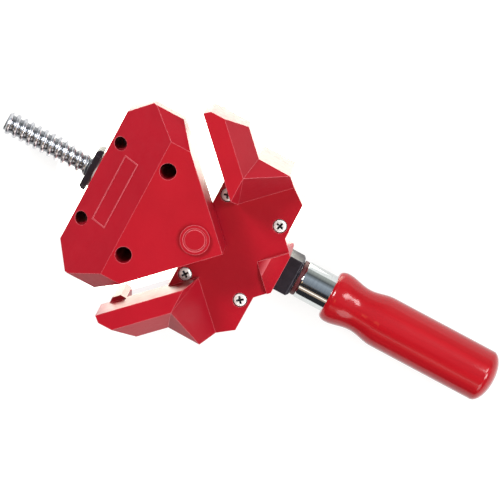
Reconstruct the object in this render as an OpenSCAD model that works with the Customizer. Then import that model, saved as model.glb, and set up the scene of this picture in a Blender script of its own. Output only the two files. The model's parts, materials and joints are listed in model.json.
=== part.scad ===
// Corner clamp with a swivelling three-cornered jaw on a screw spindle.
// Millimetres. X runs along the spindle towards the handle, Z is up, the base stands at Z = 0.
// X = 0 is where the two clamping planes of the fixed jaw meet.

/* [Jaws] */
// opening between the clamping faces as drawn
jaw_gap = 11.8; // [8:0.1:20]
// height of the top of both jaws
top_z = 54.5; // [50:0.5:60]
// height of the floor the work lies on
floor_z = 30; // [29:0.5:33]
// height of the lower edge of the sloping facets
mid_z = 41.5; // [38:0.5:46]
// air between the floor and the moving cap
cap_lift = 1; // [0.6:0.1:2]
// wall thickness of the hollow cap
cap_wall = 5; // [4:0.5:6]

/* [Moving jaw] */
// distance from the right-angled corner to the long edge
cap_depth = 76; // [74:0.5:80]
// half width over the two ends
cap_half = 49; // [47:0.5:51]
// half length of the long edge
edge_half = 37; // [33:0.5:40]
// length of each straight end
end_len = 17; // [14:0.5:19]
// distance from the corner to the crease of the top
crease_d = 49.3; // [46:0.1:52]
// half width of the flat top
flat_half = 38.3; // [36:0.1:41]
// distance from the corner to the swivel axis
pivot_d = 15.7; // [15:0.1:18]
// radius of the two front holes
hole_r = 4.25; // [3.5:0.05:4.5]
// spacing of the front holes over the spindle
hole_b_y = 24.2; // [22:0.1:26]
// distance of the front holes from the corner
hole_b_d = 43.7; // [42:0.1:46]
// half spacing of the rear holes
hole_a_y = 21.7; // [20:0.1:24]
// distance of the rear holes from the corner
hole_a_d = 71.3; // [70:0.1:71.8]
// radius of the two rear holes
hole_a_r = 3.4; // [3:0.05:3.6]
// set-back of the legs from the clamping planes
leg_back = 2.4; // [2.2:0.1:4]
// distance of the front of the legs from the corner
leg_front = 33.5; // [33:0.1:36]
// half width of the passage between the legs
leg_gap = 14; // [13:0.5:16]
// clearance of the legs over the bench
leg_lift = 0.5; // [0.3:0.1:1]

/* [Fixed jaw] */
// distance of the wing tip from the spindle axis
wing_y = 61.3; // [59:0.1:64]
// where the tip is cut short along X
tip_x = -55.5; // [-57:0.1:-54]
// width of the flat ridge measured across
ridge_w = 9.5; // [8:0.1:11]
// width of the wing at the lower facet edge
wing_w = 18.5; // [17:0.1:20]
// X of the end of the ridge
ridge_x = -25.6; // [-28:0.1:-24]
// front edge of the floor
front_x = -33; // [-34:0.1:-32]
// half width of the flank
flank_y = 49.2; // [48:0.1:50]
// thickness of the floor over and under the slot
skin = 4; // [3:0.1:4.5]
// closing travel of the moving jaw from the drawn opening
close_travel = 10; // [8:0.5:10]
// half width of the slot for the nut
slot_half = 11.5; // [11:0.1:12.5]
// X of the closed end of the slot
slot_x = -8; // [-9:0.1:-7.5]
// length of each support lug
lug_len = 9; // [7:0.1:11]
// how far each lug stands out
lug_out = 2.4; // [1.8:0.1:2.5]
// distance of the lug from the tip
lug_pos = 9.5; // [8:0.1:12]
// underside of the free wings
arm_z = 26; // [23:0.5:27]

/* [Spindle] */
// radius over the thread
spindle_r = 6; // [5.8:0.05:6.2]
// length of thread in front of the fixed corner
spindle_front = 144.7; // [142:0.1:150]
// height of the spindle axis
axis_z = 15; // [14.5:0.1:15.5]
// radial running clearance
run_fit = 0.05; // [0.02:0.01:0.09]
// radius of the thrust collar
collar_r = 9.2; // [8.5:0.1:9.6]
// radius of the ferrule
ferrule_r = 9.9; // [9.5:0.1:10.5]
// length of the ferrule
ferrule_len = 16.5; // [14:0.1:18]
// length of the handle
handle_len = 94.7; // [88:0.1:100]
// largest radius of the handle
handle_r = 13.7; // [13:0.1:14.2]
// length of the rounded front edge of the handle
bead_len = 4.2; // [3:0.1:6]
// drop of the rounded front edge
bead_drop = 2.4; // [1.5:0.1:3]
// distance from the ferrule to the end of the waist
waist_end = 30.5; // [25:0.1:36]
// depth of the waist
waist_drop = 2.1; // [1:0.1:3]
// length of the rounded butt
butt_len = 6.6; // [4:0.1:10]
// radius of the tang inside the handle
tang_r = 5; // [4:0.1:5.5]
// length of the tang inside the handle
tang_len = 42; // [30:1:60]

/* [Bearing] */
// half width of the bearing block
block_half = 9.7; // [9.4:0.1:10]
// how far the block stands out of the fixed jaw
block_out = 8.4; // [7:0.1:10]
// half width of the flange inside the fixed jaw
flange_half = 12; // [11.5:0.1:12.5]
// thickness of the flange
flange_t = 4; // [3:0.1:5]
// height of the boss over the bearing
boss_h = 2; // [1:0.1:3]
// X of the point of the boss
boss_x = 1; // [0:0.1:2]
// length of the sloping point of the boss
boss_len = 5.5; // [4:0.1:7]
// half width of the end plate
plate_half = 11.2; // [10.8:0.1:12]
// half height of the end plate
plate_hz = 10; // [9.5:0.1:11]
// thickness of the end plate
plate_t = 3.4; // [3:0.1:4]

/* [Fasteners] */
// radius of the shell screw heads
screw_head_r = 3.5; // [3:0.05:3.6]
// radius of the shell screw shanks
screw_r = 2; // [1.8:0.05:2.2]
// radius of the locating dowels
dowel_r = 2; // [1.5:0.1:2.5]
// half length of the locating dowels
dowel_half = 6; // [4:0.5:8]
// radius of the bolts of the cap
bolt_r = 2.5; // [2:0.1:3]
// radius of the heads of the cap bolts
bolt_head_r = 4.2; // [4:0.1:4.5]
// height of the seats of the cap bolts
bolt_seat_z = 8; // [7:0.5:12]
// height of the upper ends of the cap bolts
bolt_top_z = 41; // [38:0.5:42]
// distance of the cap bolts from the corner
bolt_d = 58; // [56:0.5:60]
// half spacing of the cap bolts
bolt_y = 33; // [31:0.5:34]
// radius of the swivel trunnion
trunnion_r = 6; // [5.5:0.1:6.2]
// radius of the neck of the trunnion
neck_r = 3.3; // [3:0.1:3.4]
// radius of the button over the swivel
button_r = 7.6; // [7.2:0.1:8]

/* [Hidden] */
$fn = 64;
big = 400;
root2 = sqrt(2);
split_z = axis_z;
apex_x = -jaw_gap * root2;
cap_z = floor_z + cap_lift;
edge_z = cap_z + 0.6;
t2_d = cap_half + end_len;
pivot_x = apex_x - pivot_d;
ridge_k = ridge_w * root2;
wing_k = wing_w * root2;
ridge_y = ridge_k - ridge_x;
face_end = -21.2;
nose_x = 14.6;
nose_half = block_half + 0.8;
flank_x = -5.1;
collar_x0 = -1.2;
collar_x1 = 3.6;
pocket_x0 = -1.6;
flange_x0 = collar_x1 + 0.4;
flange_x1 = flange_x0 + flange_t;
block_x1 = nose_x + block_out;
washer_x0 = block_x1 + 0.3;
ferrule_x0 = washer_x0 + 2;
handle_x0 = ferrule_x0 + ferrule_len;
handle_x1 = handle_x0 + handle_len;
tang_x1 = handle_x0 + tang_len;
bush_r = spindle_r + 2;
pocket_r = collar_r + 0.6;
nut_half = 9;
nut_hz = 9.5;
sleeve_r = spindle_r + 2.5;
sleeve_in = spindle_r + 0.5;
nut_back = pivot_x - nut_half;
plate_x1 = apex_x - cap_depth - 0.9;
plate_x0 = plate_x1 - plate_t;
trunnion_z = top_z - 3;
trunnion_slot = neck_r + 0.5;
bush_top = top_z - 5;
pin_r = 1.5;
screw_spots = [[-28.2, 23.3], [2.6, 21.7]];
dowel_spot = [-14, 33];
red = [0.72, 0.06, 0.12];
black = [0.1, 0.1, 0.11];
steel = [0.72, 0.73, 0.75];
bronze = [0.7, 0.52, 0.28];

// everything on the far side of the plane through p with normal n
module beyond(p, n) {
  translate(p)
    rotate([0, acos(n[2] / norm(n)), atan2(n[1], n[0])])
      translate([-big / 2, -big / 2, 0])
        cube(big);
}

// rod along X
module rod_x(r, x0, x1) {
  translate([x0, 0, axis_z]) rotate([0, 90, 0]) cylinder(r = r, h = x1 - x0);
}

// cross pin from -Y into the spindle, which it leaves whole on the other side
module cross_pin(x, reach) {
  translate([x, -reach, axis_z]) rotate([-90, 0, 0]) cylinder(r = pin_r, h = reach + spindle_r - 1);
}

// square bar along X
module bar_x(half, x0, x1) {
  translate([x0, -half, axis_z - half]) cube([x1 - x0, 2 * half, 2 * half]);
}

// upright rod
module post(p, r, z0, z1) {
  translate([p[0], p[1], z0]) cylinder(r = r, h = z1 - z0);
}

// hole positions in the moving jaw
function hole_a(s) = [apex_x - hole_a_d, s * hole_a_y];
function hole_b(s) = [apex_x - hole_b_d, s * hole_b_y];
function bolt_at(s) = [apex_x - bolt_d, s * bolt_y];

// plan of the cap, drawn smaller by w
function cap_side(w, s) = [
  [-w * root2 - (cap_half - w), s * (cap_half - w)],
  [-t2_d + 0.4 * w, s * (cap_half - w)],
  [-cap_depth + w, s * (edge_half - 0.4 * w)]
];
function flip(a) = [for (i = [len(a) - 1:-1:0]) a[i]];
function cap_plan(w) = concat([[-w * root2, 0]], cap_side(w, 1), flip(cap_side(w, -1)));

// block of the cap with its facets, drawn smaller by w
module cap_block(w) {
  difference() {
    translate([apex_x, 0, cap_z - (w > 0 ? 1 : 0)])
      linear_extrude(top_z - cap_z - w + (w > 0 ? 1 : 0)) polygon(cap_plan(w));
    beyond([apex_x - crease_d, 0, top_z - 1.3 * w], [-(top_z - edge_z), 0, cap_depth - crease_d]);
    for (s = [-1, 1])
      beyond([apex_x, s * flat_half, top_z - 1.4 * w], [0, s * (top_z - mid_z), cap_half - flat_half]);
  }
}

module cap() {
  color(red)
    difference() {
      cap_block(0);
      difference() {
        cap_block(cap_wall);
        post([pivot_x, 0], bush_r + 3, 0, top_z);
        for (s = [-1, 1]) {
          post(hole_a(s), hole_a_r + 3.5, 0, top_z);
          post(hole_b(s), hole_r + 3.5, 0, top_z);
          post(bolt_at(s), bolt_r + 3.5, 0, top_z);
        }
      }
      post([pivot_x, 0], bush_r, cap_z - 1, bush_top);
      post([pivot_x, 0], trunnion_r + 0.5, bush_top - 1, top_z + 1);
      for (s = [-1, 1]) {
        post(hole_b(s), hole_r, cap_z - 1, top_z + 1);
        post(hole_a(s), hole_a_r, cap_z - 1, top_z + 1);
        post(bolt_at(s), bolt_r, cap_z - 1, bolt_top_z + 0.5);
      }
    }
}

module pivot_bush() {
  color(bronze)
    difference() {
      post([pivot_x, 0], bush_r, cap_z, bush_top);
      post([pivot_x, 0], trunnion_r + run_fit, cap_z - 1, bush_top + 1);
    }
}

// plan of one leg
function leg_plan(s) = [
  [-cap_depth, s * leg_gap],
  [-cap_depth, s * edge_half],
  [-t2_d, s * (cap_half - 2)],
  [-leg_back * root2 - (cap_half - 2), s * (cap_half - 2)],
  [-leg_front, s * (leg_front - leg_back * root2)],
  [-leg_front, s * leg_gap]
];

module underframe() {
  color(red)
    difference() {
      union() {
        for (s = [-1, 1])
          difference() {
            translate([apex_x, 0, leg_lift]) linear_extrude(cap_z - leg_lift) polygon(leg_plan(s));
            beyond([0, s * (cap_half - 2), cap_z - 8], [0, s * 23, -7]);
          }
        translate([apex_x - cap_depth, -leg_gap - 1, axis_z - 13])
          cube([8, 2 * leg_gap + 2, cap_z - axis_z + 13]);
      }
      translate([apex_x - cap_depth - 1, -leg_gap + 1.2, axis_z - 10])
        cube([10, 2 * leg_gap - 2.4, 20]);
      for (s = [-1, 1]) {
        post(hole_b(s), hole_r, -1, cap_z + 1);
        post(hole_a(s), hole_a_r, -1, cap_z + 1);
        post(bolt_at(s), bolt_r, -1, cap_z + 1);
        post(bolt_at(s), bolt_head_r + 0.3, -1, bolt_seat_z);
      }
    }
}

module cap_bolts() {
  color(black)
    for (s = [-1, 1])
      difference() {
        union() {
          post(bolt_at(s), bolt_r, bolt_seat_z - 1, bolt_top_z);
          post(bolt_at(s), bolt_head_r, bolt_seat_z - 2 * bolt_r, bolt_seat_z);
        }
        translate([bolt_at(s)[0], bolt_at(s)[1], bolt_seat_z - 3 * bolt_r])
          cylinder(r = bolt_r - 0.2, h = 2 * bolt_r, $fn = 6);
      }
}

module trunnion_nut() {
  color(black)
    difference() {
      union() {
        translate([pivot_x - nut_half, -nut_half, axis_z - nut_hz])
          cube([2 * nut_half, 2 * nut_half, 2 * nut_hz]);
        post([pivot_x, 0], neck_r, axis_z + nut_hz - 1, cap_z);
        post([pivot_x, 0], trunnion_r, cap_z - cap_lift / 2, trunnion_z);
      }
      rod_x(spindle_r + run_fit, pivot_x - nut_half - 1, pivot_x + nut_half + 1);
      post([pivot_x, 0], pin_r, trunnion_z - 12, trunnion_z + 1);
    }
}

module nut_sleeve() {
  color(steel)
    difference() {
      rod_x(sleeve_r, plate_x0, nut_back);
      rod_x(sleeve_in, plate_x0 - 1, nut_back + 1);
    }
}

module end_plate() {
  color(black)
    difference() {
      translate([plate_x0, -plate_half, axis_z - plate_hz])
        cube([plate_t, 2 * plate_half, 2 * plate_hz]);
      rod_x(sleeve_r, plate_x0 - 1, plate_x1 + 1);
      for (s = [-1, 1], t = [-1, 1])
        beyond([plate_x0, s * plate_half, axis_z + t * (plate_hz - 3)], [0, s, t]);
      for (s = [-1, 1])
        beyond([plate_x0, s * (plate_half - 1.5), axis_z], [-1, s, 0]);
    }
}

module plate_clip() {
  color(steel)
    difference() {
      rod_x(sleeve_r + 1.2, plate_x1, plate_x1 + 1.2);
      rod_x(sleeve_r, plate_x1 - 1, plate_x1 + 3);
    }
}

module pivot_button() {
  color(red)
    difference() {
      union() {
        post([pivot_x, 0], button_r, top_z + 0.3, top_z + 1.6);
        post([pivot_x, 0], trunnion_r - 0.5, trunnion_z, top_z + 0.4);
      }
      translate([pivot_x, 0, top_z + 1.2])
        difference() {
          cylinder(r = button_r - 1.6, h = 1);
          translate([0, 0, -1]) cylinder(r = button_r - 2.4, h = 3);
        }
      post([pivot_x, 0], pin_r, trunnion_z - 1, top_z + 0.8);
    }
}

module button_screw() {
  color(steel) post([pivot_x, 0], pin_r, trunnion_z - 11, top_z + 0.6);
}

// plan of the floor and of the lower shell
function floor_side(s) = [
  [front_x, s * 40],
  [-23.2, s * flank_y],
  [flank_x, s * flank_y],
  [-0.3, s * 42.7],
  [7.8, s * 36.6],
  [8, s * 17.3],
  [nose_x, s * nose_half]
];
floor_plan = concat(floor_side(1), flip(floor_side(-1)));

// everything cut from both shells round the spindle
module shell_cuts() {
  translate([front_x - 1, -slot_half, skin])
    cube([slot_x - front_x + 1, 2 * slot_half, floor_z - 2 * skin]);
  post([pivot_x + close_travel, 0], trunnion_slot, axis_z, floor_z + 1);
  translate([front_x - 1, -trunnion_slot, axis_z])
    cube([pivot_x + close_travel - front_x + 1, 2 * trunnion_slot, floor_z]);
  rod_x(bush_r, slot_x - 1, pocket_x0 + 0.1);
  rod_x(pocket_r, pocket_x0, flange_x0 + 0.1);
  bar_x(flange_half, flange_x0, flange_x1);
  bar_x(block_half, flange_x0, nose_x + 1);
  for (s = [-1, 1]) {
    post([dowel_spot[0], s * dowel_spot[1]], dowel_r, axis_z - dowel_half, axis_z + dowel_half);
    for (p = screw_spots) {
      post([p[0], s * p[1]], screw_r, 5, floor_z + 1);
      post([p[0], s * p[1]], screw_head_r + 0.2, floor_z - 2, floor_z + 1);
    }
  }
}

module jaw_lower() {
  color(red)
    difference() {
      linear_extrude(split_z) polygon(floor_plan);
      shell_cuts();
    }
}

// one wing on the side s
module wing(s) {
  difference() {
    translate([0, 0, arm_z])
      linear_extrude(top_z - arm_z)
        polygon([[tip_x - 3.1, s * (3.1 - tip_x)], [tip_x, s * wing_y], [wing_k - wing_y, s * wing_y],
                 [wing_k - flank_y, s * flank_y], [face_end, s * flank_y], [face_end, -s * face_end]]);
    beyond([ridge_k, 0, top_z], [top_z - mid_z, s * (top_z - mid_z), (wing_w - ridge_w) * root2]);
    beyond([ridge_x, 0, top_z], [top_z - floor_z, 0, face_end - ridge_x]);
  }
  difference() {
    translate([0, 0, split_z])
      linear_extrude(top_z - split_z)
        polygon([[front_x, -s * front_x], [front_x, s * 40], [-23.2, s * flank_y], [flank_x, s * flank_y],
                 [-0.3, s * 42.7], [face_end, -s * face_end]]);
    beyond([ridge_k, 0, top_z], [top_z - mid_z, s * (top_z - mid_z), (wing_w - ridge_w) * root2]);
    beyond([-0.3, s * 42.7, floor_z],
           [top_z - floor_z, -s * (top_z - floor_z), ridge_y - 42.7 - ridge_x - 0.3]);
    beyond([ridge_x, s * ridge_y, top_z], [0, s * (top_z - mid_z), flank_y - ridge_y]);
  }
  translate([tip_x - 3.1 + lug_pos / root2, s * (3.1 - tip_x - lug_pos / root2), 0])
    rotate([0, 0, -s * 45])
      linear_extrude(floor_z)
        polygon([[-lug_len / 2, 0], [-lug_len / 4, -s * lug_out], [lug_len / 4, -s * lug_out],
                 [lug_len / 2, 0], [lug_len / 4, s * 7], [-lug_len / 4, s * 7]]);
}

// pointed boss over the bearing
module nose_boss() {
  difference() {
    intersection() {
      translate([0, 0, floor_z - 1]) linear_extrude(boss_h + 1) polygon(floor_plan);
      translate([boss_x, 0, floor_z - 2]) rotate([0, 0, -45]) cube([big, big, boss_h + 3]);
    }
    beyond([boss_x, 0, floor_z], [-boss_h, 0, boss_len]);
  }
}

module jaw_upper() {
  color(red)
    difference() {
      union() {
        translate([0, 0, split_z]) linear_extrude(floor_z - split_z) polygon(floor_plan);
        wing(1);
        wing(-1);
        nose_boss();
      }
      shell_cuts();
    }
}

module shell_screws() {
  color(steel)
    for (s = [-1, 1], p = screw_spots) {
      post([p[0], s * p[1]], screw_r, 5, floor_z - 2);
      post([p[0], s * p[1]], screw_head_r, floor_z - 2, floor_z);
    }
}

module shell_dowels() {
  color(steel)
    for (s = [-1, 1])
      post([dowel_spot[0], s * dowel_spot[1]], dowel_r, axis_z - dowel_half, axis_z + dowel_half);
}

module front_bush() {
  color(bronze)
    difference() {
      rod_x(bush_r, slot_x, pocket_x0);
      rod_x(spindle_r + run_fit, slot_x - 1, pocket_x0 + 1);
    }
}

module bearing_block() {
  color(black)
    difference() {
      union() {
        bar_x(flange_half, flange_x0, flange_x1);
        bar_x(block_half, flange_x0, block_x1);
      }
      rod_x(spindle_r + run_fit, flange_x0 - 1, block_x1 + 1);
      for (s = [-1, 1]) {
        beyond([block_x1, s * (block_half - 1.2), axis_z], [1, s, 0]);
        beyond([block_x1, 0, axis_z + s * (block_half - 1.2)], [1, 0, s]);
      }
    }
}

module spindle() {
  color(steel)
    difference() {
      union() {
        translate([-spindle_front, 0, axis_z])
          rotate([0, 90, 0]) cylinder(r1 = spindle_r - 1.2, r2 = spindle_r, h = 1.2);
        rod_x(spindle_r, 1.2 - spindle_front, handle_x0);
        rod_x(tang_r, handle_x0 - 1, tang_x1);
      }
      cross_pin(ferrule_x0 + ferrule_len / 2, 2 * spindle_r);
      cross_pin((collar_x0 + collar_x1) / 2, 2 * spindle_r);
    }
}

module thrust_collar() {
  color(steel)
    difference() {
      rod_x(collar_r, collar_x0, collar_x1);
      rod_x(spindle_r, collar_x0 - 1, collar_x1 + 1);
      cross_pin((collar_x0 + collar_x1) / 2, 2 * collar_r);
    }
}

module collar_pin() {
  color(black) cross_pin((collar_x0 + collar_x1) / 2, collar_r - 0.4);
}

module rear_washer() {
  color(red)
    difference() {
      rod_x(ferrule_r - 0.5, washer_x0, ferrule_x0);
      rod_x(spindle_r, washer_x0 - 1, ferrule_x0 + 1);
    }
}

module ferrule() {
  color(steel)
    difference() {
      translate([ferrule_x0, 0, axis_z])
        rotate([0, 90, 0])
          rotate_extrude()
            polygon([[spindle_r, 0], [ferrule_r - 1, 0], [ferrule_r - 0.3, 0.35], [ferrule_r, 1.1],
                     [ferrule_r, ferrule_len], [spindle_r, ferrule_len]]);
      cross_pin(ferrule_x0 + ferrule_len / 2, 2 * ferrule_r);
    }
}

module ferrule_pin() {
  color(black) cross_pin(ferrule_x0 + ferrule_len / 2, ferrule_r - 0.4);
}

// radius of the handle at the distance d from the ferrule
function bead_at(d) = handle_r - bead_drop * (1 - sqrt(1 - pow(1 - d / bead_len, 2)));
function waist_at(d) = handle_r - waist_drop * (1 - cos(360 * (d - bead_len) / (waist_end - bead_len))) / 2;
function butt_at(d) = handle_r * sqrt(1 - pow((d - handle_len + butt_len) / butt_len, 2));

// turned outline of the handle
handle_line = concat(
  [for (i = [0:3]) let (d = bead_len * i / 4) [bead_at(d), d]],
  [for (i = [0:12]) let (d = bead_len + (waist_end - bead_len) * i / 12) [waist_at(d), d]],
  [for (i = [0:7]) let (d = handle_len - butt_len * (1 - sin(90 * i / 8))) [butt_at(d), d]]
);

module handle() {
  color(red)
    difference() {
      translate([handle_x0, 0, axis_z])
        rotate([0, 90, 0])
          rotate_extrude()
            polygon(concat([[0, 0]], handle_line, [[0, handle_len]]));
      rod_x(tang_r, handle_x0 - 1, tang_x1);
    }
}

jaw_lower();
jaw_upper();
shell_screws();
shell_dowels();
front_bush();
bearing_block();
spindle();
thrust_collar();
collar_pin();
rear_washer();
ferrule();
ferrule_pin();
handle();
trunnion_nut();
nut_sleeve();
end_plate();
plate_clip();
pivot_button();
button_screw();
cap();
pivot_bush();
underframe();
cap_bolts();
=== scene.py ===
import json
import math
import bpy
import bmesh
from mathutils import Matrix, Vector


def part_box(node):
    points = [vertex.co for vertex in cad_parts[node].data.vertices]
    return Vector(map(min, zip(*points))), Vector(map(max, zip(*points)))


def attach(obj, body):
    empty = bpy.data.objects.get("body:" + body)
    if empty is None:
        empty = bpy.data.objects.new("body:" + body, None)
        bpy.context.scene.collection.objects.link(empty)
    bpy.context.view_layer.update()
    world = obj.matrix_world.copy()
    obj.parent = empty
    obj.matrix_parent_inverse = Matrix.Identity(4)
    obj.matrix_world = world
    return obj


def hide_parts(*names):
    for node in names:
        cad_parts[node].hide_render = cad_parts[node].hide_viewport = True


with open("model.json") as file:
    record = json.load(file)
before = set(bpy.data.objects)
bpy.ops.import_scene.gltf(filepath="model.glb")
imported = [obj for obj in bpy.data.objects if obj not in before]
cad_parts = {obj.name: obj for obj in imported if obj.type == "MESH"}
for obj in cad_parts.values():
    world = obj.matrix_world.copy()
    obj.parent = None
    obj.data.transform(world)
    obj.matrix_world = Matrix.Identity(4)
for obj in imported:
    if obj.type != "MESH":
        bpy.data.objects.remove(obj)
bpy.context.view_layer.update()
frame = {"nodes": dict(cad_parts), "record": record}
NODES = frame["nodes"]
MM = 0.001

# Places taken from the CAD boxes
SPINDLE_LOW, SPINDLE_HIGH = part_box("spindle")
CAP_LOW, CAP_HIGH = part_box("cap")
AXIS_Z = (SPINDLE_LOW[2] + SPINDLE_HIGH[2]) / 2
SPINDLE_R = (SPINDLE_HIGH[2] - SPINDLE_LOW[2]) / 2
JAW_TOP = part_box("jaw_upper")[1][2]
JAW_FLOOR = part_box("shell_screws")[1][2]
FLANK_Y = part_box("jaw_lower")[1][1]


# Shader helpers

def new_material(name):
    mat = bpy.data.materials.new(name)
    mat.use_nodes = True
    return mat, mat.node_tree.nodes, mat.node_tree.links


def noise(nodes, links, scale, detail, rough=0.55, stretch=None):
    """Noise in the row frame, so that its scale is in features per metre."""
    coord = nodes.new("ShaderNodeTexCoord")
    tex = nodes.new("ShaderNodeTexNoise")
    tex.inputs["Scale"].default_value = scale
    tex.inputs["Detail"].default_value = detail
    tex.inputs["Roughness"].default_value = rough
    place = coord.outputs["Object"]
    if stretch:
        mapping = nodes.new("ShaderNodeMapping")
        mapping.inputs["Scale"].default_value = stretch
        links.new(place, mapping.inputs["Vector"])
        place = mapping.outputs["Vector"]
    links.new(place, tex.inputs["Vector"])
    return tex.outputs["Fac"]


def ramp(nodes, links, fac, stops):
    """Colours at given positions, blended in between."""
    node = nodes.new("ShaderNodeValToRGB")
    elements = node.color_ramp.elements
    while len(elements) < len(stops):
        elements.new(0.5)
    for element, (position, colour) in zip(elements, stops):
        element.position = position
        element.color = (*colour, 1.0)
    links.new(fac, node.inputs["Fac"])
    return node.outputs["Color"]


def rescale(nodes, links, fac, low, high, start=0.0, end=1.0):
    """A value that goes from low to high while fac goes from start to end."""
    node = nodes.new("ShaderNodeMapRange")
    node.inputs["From Min"].default_value = start
    node.inputs["From Max"].default_value = end
    node.inputs["To Min"].default_value = low
    node.inputs["To Max"].default_value = high
    links.new(fac, node.inputs["Value"])
    return node.outputs["Result"]


def mix(nodes, links, fac, a, b):
    """Colour a where fac is 0 and b where it is 1; each is a tuple or a socket."""
    node = nodes.new("ShaderNodeMix")
    node.data_type = "RGBA"
    links.new(fac, node.inputs["Factor"])
    for value, socket in ((a, node.inputs["A"]), (b, node.inputs["B"])):
        if isinstance(value, tuple):
            socket.default_value = (*value, 1.0)
        else:
            links.new(value, socket)
    return node.outputs["Result"]


def bump(nodes, links, height, strength, distance):
    node = nodes.new("ShaderNodeBump")
    node.inputs["Strength"].default_value = strength
    node.inputs["Distance"].default_value = distance
    links.new(height, node.inputs["Height"])
    return node.outputs["Normal"]


def math_node(nodes, links, operation, a, b):
    """One step of arithmetic on two values; each is a number or a socket."""
    node = nodes.new("ShaderNodeMath")
    node.operation = operation
    for value, socket in ((a, node.inputs[0]), (b, node.inputs[1])):
        if isinstance(value, float):
            socket.default_value = value
        else:
            links.new(value, socket)
    return node.outputs["Value"]


# Radius within which an edge is paled by wear and painted highlight, and the cosine at which it is fully
# paled
EDGE_WEAR_HIGHLIGHT_RADIUS = 0.35 * MM
EDGE_WEAR_HIGHLIGHT_COSINE = 0.93


def edge_wear_highlight_mask(nodes, links):
    """1 along the edges of the mesh, 0 on its faces; it places the edges' wear and painted highlight."""
    rounded = nodes.new("ShaderNodeBevel")
    rounded.samples = 4
    rounded.inputs["Radius"].default_value = EDGE_WEAR_HIGHLIGHT_RADIUS
    geometry = nodes.new("ShaderNodeNewGeometry")
    dot = nodes.new("ShaderNodeVectorMath")
    dot.operation = "DOT_PRODUCT"
    links.new(rounded.outputs["Normal"], dot.inputs[0])
    links.new(geometry.outputs["True Normal"], dot.inputs[1])
    return rescale(nodes, links, dot.outputs["Value"], 0.0, 1.0, start=1.0, end=EDGE_WEAR_HIGHLIGHT_COSINE)


# Materials

RED_DEEP = (0.3, 0.0025, 0.011)
RED_CLEAR = (0.34, 0.0035, 0.013)
RED_SPECK = (0.4, 0.008, 0.018)
# Edge colour of the red: wear and painted highlight
RED_EDGE_WEAR_HIGHLIGHT = (0.62, 0.16, 0.18)
BLACK_DEEP = (0.009, 0.006, 0.011)
BLACK_CLEAR = (0.022, 0.016, 0.026)
# Edge colour of the black: wear and painted highlight
BLACK_EDGE_WEAR_HIGHLIGHT = (0.16, 0.15, 0.17)
# Painted shade in the thread's root, and the radii over which it fades out
ROOT_SHADE = (0.24, 0.25, 0.27)
ROOT_SHADE_R = (4.3 * MM, 5.4 * MM)
LACQUER_DEEP = (0.3, 0.004, 0.008)
LACQUER_CLEAR = (0.37, 0.008, 0.013)
# A darker copy of the red for the rear washer: painted shade between the block and the ferrule
RED_IN_SHADE_DEEP = (0.05, 0.004, 0.006)
RED_IN_SHADE_CLEAR = (0.11, 0.008, 0.012)


def red_casting():
    mat, nodes, links = new_material("red_powder_coat")
    shader = nodes["Principled BSDF"]
    clouds = noise(nodes, links, scale=38, detail=3)
    coat = ramp(nodes, links, clouds, [(0.3, RED_DEEP), (0.7, RED_CLEAR)])
    specks = rescale(nodes, links, noise(nodes, links, scale=1500, detail=2), low=-0.1, high=0.35)
    speckled = mix(nodes, links, specks, coat, RED_SPECK)
    # Edges paled by wear and painted highlight
    wear_and_highlight = mix(nodes, links, edge_wear_highlight_mask(nodes, links), speckled, RED_EDGE_WEAR_HIGHLIGHT)
    gloss = rescale(nodes, links, noise(nodes, links, scale=260, detail=3), low=0.28, high=0.4)
    peel = noise(nodes, links, scale=480, detail=2)
    links.new(wear_and_highlight, shader.inputs["Base Color"])
    links.new(gloss, shader.inputs["Roughness"])
    links.new(bump(nodes, links, peel, strength=0.3, distance=0.2 * MM), shader.inputs["Normal"])
    shader.inputs["Specular IOR Level"].default_value = 0.26
    return mat


def black_steel():
    mat, nodes, links = new_material("blackened_steel")
    shader = nodes["Principled BSDF"]
    shader.inputs["Metallic"].default_value = 0.35
    clouds = noise(nodes, links, scale=220, detail=4)
    body = ramp(nodes, links, clouds, [(0.3, BLACK_DEEP), (0.75, BLACK_CLEAR)])
    # Edges paled by wear and painted highlight
    wear_and_highlight = mix(nodes, links, edge_wear_highlight_mask(nodes, links), body, BLACK_EDGE_WEAR_HIGHLIGHT)
    gloss = rescale(nodes, links, noise(nodes, links, scale=500, detail=3), low=0.36, high=0.55)
    grain = noise(nodes, links, scale=1200, detail=2)
    links.new(wear_and_highlight, shader.inputs["Base Color"])
    links.new(gloss, shader.inputs["Roughness"])
    links.new(bump(nodes, links, grain, strength=0.1, distance=0.08 * MM), shader.inputs["Normal"])
    return mat


def bright_steel(name, dark, light, stretch, rough, metal=1.0):
    """A turned or plated metal whose tool marks are stretched along the row frame's axes."""
    mat, nodes, links = new_material(name)
    shader = nodes["Principled BSDF"]
    shader.inputs["Metallic"].default_value = metal
    marks = noise(nodes, links, scale=400, detail=4, rough=0.6, stretch=stretch)
    links.new(ramp(nodes, links, marks, [(0.3, dark), (0.7, light)]), shader.inputs["Base Color"])
    links.new(rescale(nodes, links, marks, *rough), shader.inputs["Roughness"])
    links.new(bump(nodes, links, marks, strength=0.08, distance=0.05 * MM), shader.inputs["Normal"])
    return mat


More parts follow.
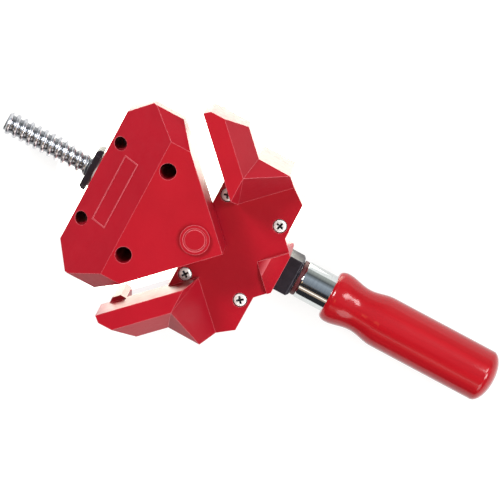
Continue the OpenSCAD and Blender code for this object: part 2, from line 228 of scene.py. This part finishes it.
def thread_steel():
    """Zinc plate with painted shade near the root of the thread."""
    mat = bright_steel("zinc_thread", dark=(0.5, 0.51, 0.54), light=(0.8, 0.8, 0.82),
                       stretch=(3.0, 0.6, 0.6), rough=(0.2, 0.36))
    nodes, links = mat.node_tree.nodes, mat.node_tree.links
    shader = nodes["Principled BSDF"]
    plate = shader.inputs["Base Color"].links[0].from_socket
    coord = nodes.new("ShaderNodeTexCoord")
    across = nodes.new("ShaderNodeVectorMath")
    across.operation = "MULTIPLY_ADD"
    across.inputs[1].default_value = (0.0, 1.0, 1.0)
    across.inputs[2].default_value = (0.0, 0.0, -AXIS_Z)
    links.new(coord.outputs["Object"], across.inputs[0])
    radius = nodes.new("ShaderNodeVectorMath")
    radius.operation = "LENGTH"
    links.new(across.outputs["Vector"], radius.inputs[0])
    # Painted shade, darker towards the root of the thread
    outside_root_shade = rescale(nodes, links, radius.outputs["Value"], 0.0, 1.0, *ROOT_SHADE_R)
    links.new(mix(nodes, links, outside_root_shade, ROOT_SHADE, plate), shader.inputs["Base Color"])
    return mat


def lacquer():
    mat, nodes, links = new_material("red_lacquered_wood")
    shader = nodes["Principled BSDF"]
    grain = noise(nodes, links, scale=240, detail=5, rough=0.6, stretch=(0.07, 1.0, 1.0))
    body = ramp(nodes, links, grain, [(0.3, LACQUER_DEEP), (0.72, LACQUER_CLEAR)])
    gloss = rescale(nodes, links, noise(nodes, links, scale=120, detail=3), low=0.14, high=0.24)
    links.new(body, shader.inputs["Base Color"])
    links.new(gloss, shader.inputs["Roughness"])
    links.new(bump(nodes, links, grain, strength=0.08, distance=0.15 * MM), shader.inputs["Normal"])
    shader.inputs["Specular IOR Level"].default_value = 0.18
    shader.inputs["Coat Weight"].default_value = 0.3
    shader.inputs["Coat Roughness"].default_value = 0.1
    return mat


# Rear washer's red, darkened as painted shade
def shaded_red_washer():
    mat, nodes, links = new_material("red_washer_painted_shade")
    shader = nodes["Principled BSDF"]
    washer_tone = noise(nodes, links, scale=900, detail=3)
    gloss = rescale(nodes, links, noise(nodes, links, scale=700, detail=2), low=0.4, high=0.6)
    links.new(ramp(nodes, links, washer_tone, [(0.3, RED_IN_SHADE_DEEP), (0.7, RED_IN_SHADE_CLEAR)]), shader.inputs["Base Color"])
    links.new(gloss, shader.inputs["Roughness"])
    return mat


RED = red_casting()
BLACK = black_steel()
RED_IN_SHADE = shaded_red_washer()
MATERIALS = {
    "red_casting": RED,
    "black_steel": BLACK,
    "zinc_steel": bright_steel("zinc_plate", dark=(0.72, 0.71, 0.67), light=(0.9, 0.89, 0.85),
                               stretch=(1.0, 1.0, 1.0), rough=(0.42, 0.58), metal=0.55),
    "spindle_steel": thread_steel(),
    "chrome_ferrule": bright_steel("polished_chrome", dark=(0.6, 0.63, 0.63), light=(0.68, 0.71, 0.7),
                                   stretch=(4.0, 0.4, 0.4), rough=(0.06, 0.12)),
    "bronze": bright_steel("plain_bronze", dark=(0.42, 0.27, 0.12), light=(0.6, 0.41, 0.2),
                           stretch=(2.0, 1.0, 1.0), rough=(0.3, 0.45)),
    "lacquered_wood": lacquer(),
}
SLOT_OF = {row["node"]: row["material_slot"] for row in frame["record"]["subparts"]}
BODY_OF = {node: body for body, nodes in frame["record"]["behaviour"]["bodies"].items() for node in nodes}


# Mesh helpers

# Points closer than this are one point
WELD = 0.001 * MM
# Angles between faces, in degrees: flat, a shallow crease between wide faces, an edge
FLAT_ANGLE = 0.6
CREASE_ANGLE = 4
EDGE_ANGLE = 28
# Creases between faces wider than this are rounded even where they are shallow
WIDE_FACE = 60 * MM * MM
EDGE_SEGMENTS = 2
# How strongly wide faces set the shading of their rounded edges, from 1 to 100
FACET_WEIGHT = 90


def add_object(name, data):
    obj = bpy.data.objects.new(name, data)
    bpy.context.scene.collection.objects.link(obj)
    return obj


def from_bmesh(name, bm, sharp=32):
    """An object that is smooth, apart from edges that turn by more than sharp degrees."""
    bmesh.ops.recalc_face_normals(bm, faces=bm.faces)
    for face in bm.faces:
        face.smooth = True
    for edge in bm.edges:
        edge.smooth = len(edge.link_faces) == 2 and edge.calc_face_angle(0.0) < math.radians(sharp)
    mesh = bpy.data.meshes.new(name)
    bm.to_mesh(mesh)
    bm.free()
    return add_object(name, mesh)


def applied_mesh(obj):
    """The mesh of an object with its modifiers applied."""
    return bpy.data.meshes.new_from_object(obj.evaluated_get(bpy.context.evaluated_depsgraph_get()))


def stand_in(obj, node):
    """obj takes the place, the finish and the body of a CAD node."""
    obj.data.materials.clear()
    obj.data.materials.append(MATERIALS[SLOT_OF[node]])
    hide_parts(node)
    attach(obj, BODY_OF[node])
    return obj


def join_flat(bm):
    """Joins faces that lie in one plane."""
    bmesh.ops.dissolve_limit(bm, angle_limit=math.radians(FLAT_ANGLE), verts=bm.verts, edges=bm.edges)


def cad_bmesh(node):
    """The node's mesh with its triangles joined into whole faces."""
    bm = bmesh.new()
    bm.from_mesh(NODES[node].data)
    bmesh.ops.remove_doubles(bm, verts=bm.verts, dist=WELD)
    join_flat(bm)
    return bm


def join_rings(bm, rings):
    """Joins each ring of vertices to the next one with four-sided faces."""
    for a, b in zip(rings, rings[1:]):
        for i in range(len(a)):
            j = (i + 1) % len(a)
            bm.faces.new((a[i], b[i], b[j], a[j]))


def ring_rows(bm, rows, seg, close_start=True):
    """A turned skin about the spindle's axis, from (x, radius) rows of seg vertices each."""
    rings = []
    for x, r in rows:
        angles = [2 * math.pi * i / seg for i in range(seg)]
        rings.append([bm.verts.new((x, r * math.cos(a), AXIS_Z + r * math.sin(a))) for a in angles])
    join_rings(bm, rings)
    if close_start:
        bm.faces.new(rings[0])
    bm.faces.new(list(reversed(rings[-1])))


# Castings and other CAD nodes with rounded edges

# Corners of the wing's foot on the +Y side of the fixed jaw, and X of the flank's corner behind it
RIDGE_END = (-25.6 * MM, 39.0 * MM, JAW_TOP)
FOOT_INNER = (-2.8 * MM, 40.2 * MM, JAW_FLOOR)
FOOT_OUTER = (-11.8 * MM, FLANK_Y, JAW_FLOOR)
FLOOR_CORNER = (-0.3 * MM, 42.7 * MM, JAW_FLOOR)
FLANK_X = -5.1 * MM


def nearest(bm, point, side):
    """The vertex nearest to a point of the +Y side (side 1) or to its mirror image (side -1)."""
    place = Vector((point[0], side * point[1], point[2]))
    return min(bm.verts, key=lambda vert: (vert.co - place).length)


def down_facet(x, y):
    """How far a point lies down the back facet of the foot, which falls along x - y."""
    return x - y


def extend_foot(bm, side):
    """Runs the back facet of a wing's foot out to the flank of the jaw."""
    ridge_end = nearest(bm, RIDGE_END, side)
    inner = nearest(bm, FOOT_INNER, side)
    outer = nearest(bm, FOOT_OUTER, side)
    corner = nearest(bm, FLOOR_CORNER, side)
    ground = [face for face in inner.link_faces if corner in face.verts][0]
    bmesh.utils.face_split(ground, inner, corner)
    slope = [face for face in outer.link_faces if ridge_end in face.verts][0]
    bmesh.utils.face_split(slope, ridge_end, outer)
    start = down_facet(*RIDGE_END[:2])
    share = (down_facet(FLANK_X, FLANK_Y) - start) / (down_facet(*FLOOR_CORNER[:2]) - start)
    outer.co = Vector((FLANK_X, side * FLANK_Y, JAW_TOP - share * (JAW_TOP - JAW_FLOOR)))
    bmesh.ops.pointmerge(bm, verts=[inner, corner], merge_co=corner.co)
    join_flat(bm)


def is_cast_edge(edge):
    """Whether an edge is rounded: a clear edge, or a crease between two wide faces."""
    if len(edge.link_faces) != 2:
        return False
    wide = min(face.calc_area() for face in edge.link_faces) > WIDE_FACE
    limit = CREASE_ANGLE if wide else EDGE_ANGLE
    return edge.calc_face_angle(0.0) > math.radians(limit)


def rounded_edges(node, width):
    """A copy of a CAD node with its edges rounded inwards."""
    bm = cad_bmesh(node)
    if node == "jaw_upper":
        extend_foot(bm, 1)
        extend_foot(bm, -1)
    edges = [edge for edge in bm.edges if is_cast_edge(edge)]
    bmesh.ops.bevel(bm, geom=edges, offset=width, offset_type="OFFSET", segments=EDGE_SEGMENTS,
                    profile=0.5, affect="EDGES", clamp_overlap=True)
    obj = from_bmesh(node + "_look", bm, sharp=50)
    weigh = obj.modifiers.new("flat_facets", "WEIGHTED_NORMAL")
    weigh.keep_sharp = True
    weigh.weight = FACET_WEIGHT
    shaded = applied_mesh(obj)
    obj.modifiers.clear()
    obj.data = shaded
    return stand_in(obj, node)


# Spindle with its trapezoidal thread

PITCH = 4 * MM
# A turned look stays this far inside its CAD solid, and its hidden ends this far short
SKIN = 0.02 * MM
END_GAP = 0.8 * MM
CREST_R = SPINDLE_R - SKIN
ROOT_R = 4.4 * MM
TANG_R = 5 * MM
BLUNT = 0.12 * MM
FILLET = 0.1 * MM
CHAMFER_R = 4.6 * MM
# How far the plain shank and the tang reach into the stretch before them
SHANK_LAP = 0.4 * MM
TANG_LAP = 0.1 * MM
THREAD_X0 = SPINDLE_LOW[0]
THREAD_X1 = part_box("front_bush")[0][0] - SHANK_LAP
SHANK_X1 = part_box("ferrule")[1][0] - END_GAP
TANG_X1 = SPINDLE_HIGH[0] - END_GAP
THREAD_SEG = 48
# Points closer than this, in the thread's net, are one point
NET_WELD = 2e-7
# One turn of the thread, as (share of the pitch, radius): crest, then root
THREAD_FORM = [
    (0.0, CREST_R - BLUNT), (0.05, CREST_R), (0.31, CREST_R), (0.36, CREST_R - BLUNT),
    (0.5, ROOT_R + FILLET), (0.55, ROOT_R), (0.81, ROOT_R), (0.86, ROOT_R + FILLET),
]


def thread_row(bm, row):
    """One line of vertices that climbs by a pitch in its turn round the axis."""
    turn, k = divmod(row, len(THREAD_FORM))
    share, radius = THREAD_FORM[k]
    line = []
    for i in range(THREAD_SEG):
        climb = THREAD_X0 + PITCH * (turn - 1 + share + i / THREAD_SEG)
        x = min(max(climb, THREAD_X0), THREAD_X1)
        r = min(radius, CHAMFER_R + (x - THREAD_X0), CHAMFER_R + (THREAD_X1 - x))
        a = 2 * math.pi * i / THREAD_SEG
        line.append(bm.verts.new((x, r * math.cos(a), AXIS_Z + r * math.sin(a))))
    return line


def threaded_spindle():
    bm = bmesh.new()
    turns = int((THREAD_X1 - THREAD_X0) / PITCH) + 3
    step = len(THREAD_FORM)
    net = [thread_row(bm, row) for row in range(turns * step + 1)]
    for row in range(turns * step - step):
        for i in range(THREAD_SEG):
            j = (i + 1) % THREAD_SEG
            climb = 0 if j else step
            bm.faces.new((net[row][i], net[row + 1][i], net[row + 1 + climb][j], net[row + climb][j]))
    bmesh.ops.remove_doubles(bm, verts=bm.verts, dist=NET_WELD)
    loose = [vert for vert in bm.verts if not vert.link_faces]
    bmesh.ops.delete(bm, geom=loose, context="VERTS")
    bmesh.ops.dissolve_degenerate(bm, edges=bm.edges, dist=NET_WELD / 2)
    ends = [edge for edge in bm.edges if len(edge.link_faces) == 1]
    bmesh.ops.holes_fill(bm, edges=ends, sides=0)
    ring_rows(bm, [(THREAD_X1 - SHANK_LAP, CREST_R), (SHANK_X1, CREST_R)], THREAD_SEG)
    ring_rows(bm, [(SHANK_X1 - TANG_LAP, TANG_R - SKIN), (TANG_X1, TANG_R - SKIN)], THREAD_SEG)
    stand_in(from_bmesh("spindle_look", bm, sharp=40), "spindle")


# Handle, turned and lacquered

BEAD_LEN = 4.2 * MM
BEAD_DROP = 2.4 * MM
BEAD_STEPS = 8
WAIST_END = 30.5 * MM
WAIST_DROP = 2.1 * MM
WAIST_STEPS = 24
GRIP_STEPS = 7
BUTT_LEN = 6.6 * MM
BUTT_STEPS = 16
BUTT_TIP_R = 0.3 * MM
HANDLE_SEG = 72


def handle_rows(length, radius):
    """The handle's (distance, radius) rows: rounded edge, waist, straight grip and rounded butt."""
    rows = [(0.0, TANG_R + SKIN)]
    for i in range(BEAD_STEPS):
        u = 1 - math.cos(math.pi / 2 * i / BEAD_STEPS)
        rows.append((BEAD_LEN * u, radius - BEAD_DROP * (1 - math.sqrt(1 - (1 - u) ** 2))))
    for i in range(WAIST_STEPS + 1):
        u = i / WAIST_STEPS
        drop = WAIST_DROP * (1 - math.cos(2 * math.pi * u)) / 2
        rows.append((BEAD_LEN + (WAIST_END - BEAD_LEN) * u, radius - drop))
    for i in range(1, GRIP_STEPS):
        rows.append((WAIST_END + (length - BUTT_LEN - WAIST_END) * i / GRIP_STEPS, radius))
    for i in range(BUTT_STEPS):
        a = math.pi / 2 * i / BUTT_STEPS
        rows.append((length - BUTT_LEN * (1 - math.sin(a)), radius * math.cos(a)))
    return rows + [(length, BUTT_TIP_R)]


def turned_handle():
    low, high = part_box("handle")
    rows = handle_rows(high[0] - low[0], (high[1] - low[1]) / 2)
    bm = bmesh.new()
    ring_rows(bm, [(low[0] + d, r) for d, r in rows], HANDLE_SEG, close_start=False)
    stand_in(from_bmesh("handle_look", bm, sharp=60), "handle")


# Shell screws with cross recesses, in millimetres

# X and Y of each screw, and the turn of its recess in degrees
SCREW_SPOTS = [(-28.2, 23.3, 20), (-28.2, -23.3, 55), (2.6, 21.7, 75), (2.6, -21.7, 38)]
SCREW_SEG = 40
HEAD_R = 3.3
HEAD_DEPTH = 2.0
SHANK_R = 2.0
SCREW_LEN = 25.0
# The screw's side as (radius, height): the domed head, its rim and the shank
SCREW_LINE = [
    (2.0, -0.02), (2.8, -0.16), (3.2, -0.42), (HEAD_R, -0.75),
    (HEAD_R, -HEAD_DEPTH), (SHANK_R, -HEAD_DEPTH), (SHANK_R, -SCREW_LEN),
]
# Half length, half width and height of one arm of the recess, above the head and at its bottom
RECESS_TOP = (2.2, 0.6, 0.3)
RECESS_LOW = (1.0, 0.4, -1.5)
# Faces within this radius and between these depths are the walls of a recess, which take painted shade in
# black
RECESS_R = 1.9
RECESS_DEPTHS = (0.1, 1.6)


def screw_body():
    bm = bmesh.new()
    angles = [2 * math.pi * i / SCREW_SEG for i in range(SCREW_SEG)]
    rings = []
    for r, z in SCREW_LINE:
        rings.append([bm.verts.new((r * MM * math.cos(a), r * MM * math.sin(a), z * MM)) for a in angles])
    bm.faces.new(rings[0])
    join_rings(bm, rings)
    bm.faces.new(list(reversed(rings[-1])))
    return from_bmesh("screw_body", bm)


def recess_ring(bm, half_len, half_wid, z, across):
    """Four corners of a recess arm, which lies along X or, if it is across, along Y."""
    ring = []
    for sx, sy in ((-1, -1), (1, -1), (1, 1), (-1, 1)):
        x, y = sx * half_len, sy * half_wid
        if across:
            x, y = -y, x
        ring.append(bm.verts.new((x * MM, y * MM, z * MM)))
    return ring


def recess_cutter():
    bm = bmesh.new()
    for across in (False, True):
        top = recess_ring(bm, *RECESS_TOP, across)
        low = recess_ring(bm, *RECESS_LOW, across)
        bm.faces.new(top)
        bm.faces.new(list(reversed(low)))
        join_rings(bm, [top, low])
    return from_bmesh("screw_recess", bm)


def screw_mesh():
    """One screw with a domed head and a tapered cross recess, its head on Z = 0."""
    body = screw_body()
    cutter = recess_cutter()
    cross = body.modifiers.new("cross", "BOOLEAN")
    cross.operation = "DIFFERENCE"
    cross.solver = "EXACT"
    cross.use_self = True
    cross.object = cutter
    mesh = applied_mesh(body)
    for obj in (body, cutter):
        bpy.data.objects.remove(obj)
    return mesh


def in_recess(point):
    """Whether a point lies on the walls or the bottom of a screw's recess."""
    away = min(math.hypot(point.x - x * MM, point.y - y * MM) for x, y, turn in SCREW_SPOTS)
    depth = JAW_FLOOR - point.z
    return away < RECESS_R * MM and RECESS_DEPTHS[0] * MM < depth < RECESS_DEPTHS[1] * MM


def shell_screws():
    one = screw_mesh()
    bm = bmesh.new()
    for x, y, turn in SCREW_SPOTS:
        start = len(bm.verts)
        bm.from_mesh(one)
        bm.verts.ensure_lookup_table()
        place = Matrix.Translation((x * MM, y * MM, JAW_FLOOR))
        move = place @ Matrix.Rotation(math.radians(turn), 4, "Z")
        bmesh.ops.transform(bm, matrix=move, verts=bm.verts[start:])
    obj = stand_in(from_bmesh("shell_screws_look", bm), "shell_screws")
    # Recess faces take the black finish: painted shade in the cross recess
    obj.data.materials.append(BLACK)
    for face in obj.data.polygons:
        if in_recess(face.center):
            face.material_index = 1


# Bare raised border on the sloping facet of the cap

# X and Z of the slope's upper and lower edges, and its length, rounded
CREASE = Vector((CAP_HIGH[0] - 49.3 * MM, CAP_HIGH[2]))
LOW_EDGE = Vector((CAP_LOW[0], CAP_LOW[2] + 0.6 * MM))
SLOPE_LEN = 35 * MM
BORDER_HALF = 18.6 * MM
# Where the border starts and ends, from the slope's low edge (0) to the crease (1)
BORDER_SPAN = (0.36, 0.66)
BORDER_SINK = -0.1 * MM
BORDER_RISE = 0.28 * MM
# The border's section as (distance from its outside, height over the slope)
BORDER_LINE = [
    (0.0, BORDER_SINK), (0.12 * MM, BORDER_RISE),
    (0.75 * MM, BORDER_RISE), (0.87 * MM, BORDER_SINK),
]
BORDER_EDGE = 0.05 * MM


def slope_point(u, y, rise):
    """A point on the slope: u from its low edge (0) to the crease (1), rise above it."""
    run = (CREASE - LOW_EDGE).normalized()
    x, z = LOW_EDGE + u * (CREASE - LOW_EDGE)
    return (x - run.y * rise, y, z + run.x * rise)


def border():
    bm = bmesh.new()
    rings = []
    for inset, rise in BORDER_LINE:
        low_u = BORDER_SPAN[0] + inset / SLOPE_LEN
        high_u = BORDER_SPAN[1] - inset / SLOPE_LEN
        half = BORDER_HALF - inset
        corners = ((low_u, -half), (high_u, -half), (high_u, half), (low_u, half))
        rings.append([bm.verts.new(slope_point(u, y, rise)) for u, y in corners])
    join_rings(bm, rings + rings[:1])
    bmesh.ops.bevel(bm, geom=list(bm.edges), offset=BORDER_EDGE, segments=1,
                    affect="EDGES", clamp_overlap=True)
    obj = from_bmesh("cap_border", bm)
    obj.data.materials.append(RED)
    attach(obj, "inner_jaw")


# Width of the rounded edges of each node, in millimetres
EDGE_WIDTH = {
    "jaw_upper": 0.45,
    "jaw_lower": 0.45,
    "cap": 0.45,
    "underframe": 0.45,
    "bearing_block": 0.3,
    "end_plate": 0.3,
    "pivot_button": 0.15,
    "trunnion_nut": 0.3,
    "ferrule": 0.15,
    "rear_washer": 0.15,
    "nut_sleeve": 0.15,
    "thrust_collar": 0.15,
    "plate_clip": 0.15,
}


def pieces():
    threaded_spindle()
    turned_handle()
    shell_screws()
    border()
    for name, width in EDGE_WIDTH.items():
        rounded_edges(name, width * MM)
    # The rear washer takes the darkened red: painted shade between block and ferrule
    bpy.data.objects["rear_washer_look"].data.materials[0] = RED_IN_SHADE
    for name, node in NODES.items():
        node.data.materials.clear()
        node.data.materials.append(MATERIALS[SLOT_OF[name]])


# Floor: a light table that keeps the ground white

FLOOR_SIZE = 8
FLOOR_Z = -0.2 * MM
FLOOR_TONE = [(0.3, (0.14, 0.14, 0.14)), (0.7, (0.16, 0.16, 0.16))]
FLOOR_GLOW = 0.88
GLOW_WHITE = (1.0, 1.0, 0.99)
# The glow is strong and cream in a pool under the part, where Y - X is more than POOL_LINE
POOL_GLOW = 4.0
GLOW_CREAM = (1.0, 1.0, 0.86)
POOL_CENTRE = (-0.035, 0.01, 0.0)
POOL_SPAN = (0.066, 0.08)
POOL_LINE = -0.002
# It fades far from the part
FAR_SPAN = (0.28, 0.65)
FAR_GLOW = 0.25
# It is left out in a rectangle under the moving jaw, so that the jaw's holes are dark
DARK_MIDDLE = (-0.0735, 0.0)
DARK_HALF = (0.0188, 0.031)
DARK_EDGE = 0.96
DARK_TONE = (0.78, 0.78, 0.78)


def scaled_distance(nodes, links, value, middle, half):
    """Distance from middle, in units of half."""
    away = math_node(nodes, links, "SUBTRACT", value, middle)
    size = nodes.new("ShaderNodeMath")
    size.operation = "ABSOLUTE"
    links.new(away, size.inputs[0])
    return math_node(nodes, links, "DIVIDE", size.outputs["Value"], half)


def falloff(nodes, links, coord, centre, span, ends):
    """A value that goes from ends[0] to ends[1] over a span of distances from centre."""
    away = nodes.new("ShaderNodeVectorMath")
    away.operation = "DISTANCE"
    away.inputs[1].default_value = centre
    links.new(coord.outputs["Object"], away.inputs[0])
    return rescale(nodes, links, away.outputs["Value"], *ends, *span)


def floor_material():
    mat, nodes, links = new_material("pale_floor")
    shader = nodes["Principled BSDF"]
    shader.inputs["Roughness"].default_value = 0.9
    tone = ramp(nodes, links, noise(nodes, links, scale=6, detail=2), FLOOR_TONE)
    coord = nodes.new("ShaderNodeTexCoord")
    split = nodes.new("ShaderNodeSeparateXYZ")
    links.new(coord.outputs["Object"], split.inputs["Vector"])
    x, y = split.outputs["X"], split.outputs["Y"]
    near = falloff(nodes, links, coord, POOL_CENTRE, POOL_SPAN, (1.0, 0.0))
    side = math_node(nodes, links, "GREATER_THAN", math_node(nodes, links, "SUBTRACT", y, x), POOL_LINE)
    pool = math_node(nodes, links, "MULTIPLY", near, side)
    glow = math_node(nodes, links, "ADD", math_node(nodes, links, "MULTIPLY", pool, POOL_GLOW), FLOOR_GLOW)
    far = falloff(nodes, links, coord, (0.0, 0.0, 0.0), FAR_SPAN, (1.0, FAR_GLOW))
    reach_x = scaled_distance(nodes, links, x, DARK_MIDDLE[0], DARK_HALF[0])
    reach_y = scaled_distance(nodes, links, y, DARK_MIDDLE[1], DARK_HALF[1])
    reach = math_node(nodes, links, "MAXIMUM", reach_x, reach_y)
    open_ground = rescale(nodes, links, reach, 0.0, 1.0, start=DARK_EDGE)
    faded = math_node(nodes, links, "MULTIPLY", glow, far)
    lit = math_node(nodes, links, "MULTIPLY", faded, open_ground)
    links.new(mix(nodes, links, pool, GLOW_WHITE, GLOW_CREAM), shader.inputs["Emission Color"])
    links.new(lit, shader.inputs["Emission Strength"])
    links.new(mix(nodes, links, open_ground, DARK_TONE, tone), shader.inputs["Base Color"])
    return mat


def floor():
    bpy.ops.mesh.primitive_plane_add(size=FLOOR_SIZE, location=(0, 0, FLOOR_Z))
    obj = bpy.context.object
    obj.name = "studio_floor"
    obj.data.materials.append(floor_material())


# Light

# Brightness of the studio from its dark side (-Y) to its bright side (+Y)
SKY_DARK = (0.03, 0.03, 0.035)
SKY = [
    (0.0, SKY_DARK), (0.42, SKY_DARK), (0.5, (0.22, 0.25, 0.3)),
    (0.8, (0.42, 0.48, 0.56)), (0.93, (0.12, 0.13, 0.14)), (1.0, (0.5, 0.52, 0.5)),
]
# Points that the lights are aimed at
PART = (-0.02, 0, 0.02)
HANDLE = (0.06, 0, 0.02)
UNDER_CARD = (-0.075, -0.05, 0.0)
WHITE = (1.0, 1.0, 1.0)
AMBER = (1.0, 0.6, 0.22)
PEACH = (1.0, 0.74, 0.55)
# Name, place, aim, width and height in metres, power in watts and colour of each area light
LIGHTS = [
    ("left", (-1.25, 0.45, 1.0), PART, (0.5, 0.5), 27.5, WHITE),
    ("right", (1.25, 0.3, 1.05), PART, (0.5, 0.5), 15, WHITE),
    ("window", (0.55, 0.75, 0.95), HANDLE, (0.3, 0.5), 7.5, WHITE),
    ("fill", (0.9, -0.9, 0.9), PART, (0.8, 0.8), 7.5, WHITE),
    ("warm_card", (-0.075, -0.05, 0.6), UNDER_CARD, (0.16, 0.12), 0.12, AMBER),
    ("strip", (0.05, -0.8, 1.05), PART, (1.6, 0.12), 0.9, WHITE),
    ("warm_wall", (0.05, -0.9, 1.1), PART, (1.6, 0.6), 1.7, PEACH),
]


def area_light(name, place, aim, size, power, colour):
    data = bpy.data.lights.new(name, "AREA")
    data.shape = "RECTANGLE"
    data.size, data.size_y = size
    data.energy = power
    data.color = colour
    obj = add_object(name, data)
    obj.location = place
    obj.rotation_euler = (Vector(aim) - Vector(place)).to_track_quat("-Z", "Y").to_euler()


def studio():
    world = bpy.data.worlds.new("studio")
    bpy.context.scene.world = world
    world.use_nodes = True
    nodes, links = world.node_tree.nodes, world.node_tree.links
    coord = nodes.new("ShaderNodeTexCoord")
    split = nodes.new("ShaderNodeSeparateXYZ")
    links.new(coord.outputs["Generated"], split.inputs["Vector"])
    side = rescale(nodes, links, split.outputs["Y"], 0.0, 1.0, start=-1.0)
    links.new(ramp(nodes, links, side, SKY), nodes["Background"].inputs["Color"])
    for light in LIGHTS:
        area_light(*light)
    bpy.context.scene.view_settings.view_transform = "Standard"


# The camera that was fitted to the photograph: its right, up and back directions, its aim and distance
CAM_RIGHT = (0.8817, 0.4663, -0.0723)
CAM_UP = (-0.4712, 0.8617, -0.1883)
CAM_BACK = (-0.0255, 0.2001, 0.9794)
CAM_AIM = (-5.85 * MM, 0.0, AXIS_Z)
CAM_DIST = 2.2634
CAM_FAR = 50
SENSOR = 36.0
# Size of the photograph, what one of its pixels covers on the part, and its shift in pixels
PHOTO_PX = 500
PX_SIZE = 0.51 * MM
SHIFT_PX = (2.64, -0.21)


def camera():
    data = bpy.data.cameras.new("camera")
    data.sensor_fit = "HORIZONTAL"
    data.sensor_width = SENSOR
    data.lens = SENSOR * CAM_DIST / (PX_SIZE * PHOTO_PX)
    data.shift_x = SHIFT_PX[0] / PHOTO_PX
    data.shift_y = SHIFT_PX[1] / PHOTO_PX
    data.clip_end = CAM_FAR
    obj = add_object("camera", data)
    turn = Matrix((CAM_RIGHT, CAM_UP, CAM_BACK)).transposed().to_4x4()
    obj.matrix_world = Matrix.Translation(Vector(CAM_AIM) + CAM_DIST * Vector(CAM_BACK)) @ turn
    bpy.context.scene.camera = obj


pieces()
floor()
studio()
camera()
